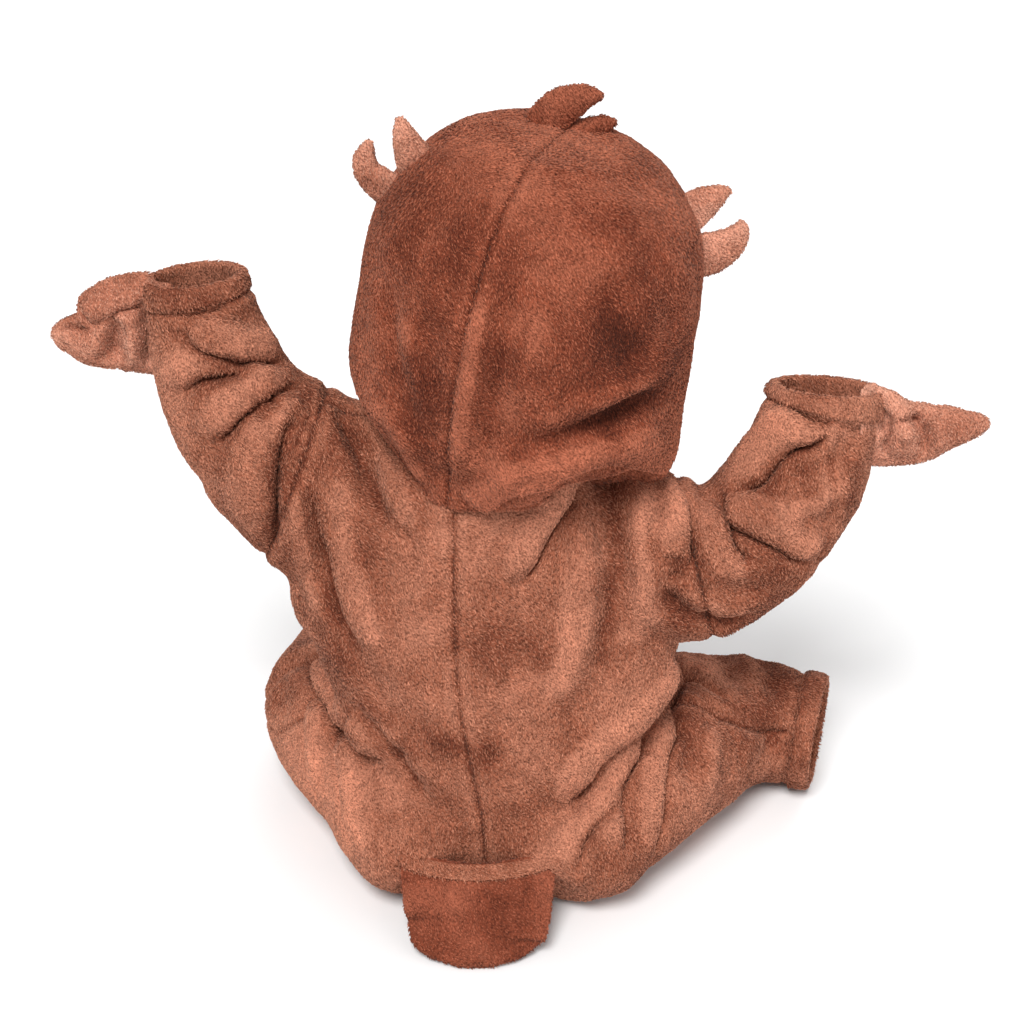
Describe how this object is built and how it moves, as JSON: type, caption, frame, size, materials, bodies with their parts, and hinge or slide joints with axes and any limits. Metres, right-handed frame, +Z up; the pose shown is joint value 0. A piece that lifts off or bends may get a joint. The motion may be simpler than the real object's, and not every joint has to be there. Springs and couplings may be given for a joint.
{
  "type": "baby kigurumi romper",
  "caption": "Hooded plush romper for a baby, cut as a bird costume with feather tufts, wing tips and a round tail, held in a sitting pose.",
  "frame": {"origin": "centre of the neck, where the wearer holds the garment up", "axes": "+X to the wearer's right, +Y the way the wearer faces, +Z up"},
  "size_m": [0.539, 0.3127, 0.4765],
  "materials": {
    "plush": "short pile plush, brushed",
    "plush_pale": "short pile plush, brushed against the nap",
    "button": "satin moulded plastic"
  },
  "bodies": {
    "root": {"hood_left": "plush", "hood_right": "plush", "back_left": "plush", "back_right": "plush", "front_left": "plush", "front_right": "plush", "sleeve_left": "plush", "sleeve_right": "plush", "cuff_left": "plush", "cuff_right": "plush", "leg_hem_left": "plush", "leg_hem_right": "plush", "tail_welt": "plush", "tail": "plush", "front_placket": "plush", "crest_large": "plush_pale", "crest_small": "plush_pale", "tuft_left_upper": "plush_pale", "tuft_left_lower": "plush_pale", "tuft_right_upper": "plush_pale", "tuft_right_lower": "plush_pale", "wing_left": "plush_pale", "wing_right": "plush_pale", "button_1": "button", "button_2": "button", "button_3": "button", "button_4": "button", "button_5": "button"}
  },
  "joints": []
}
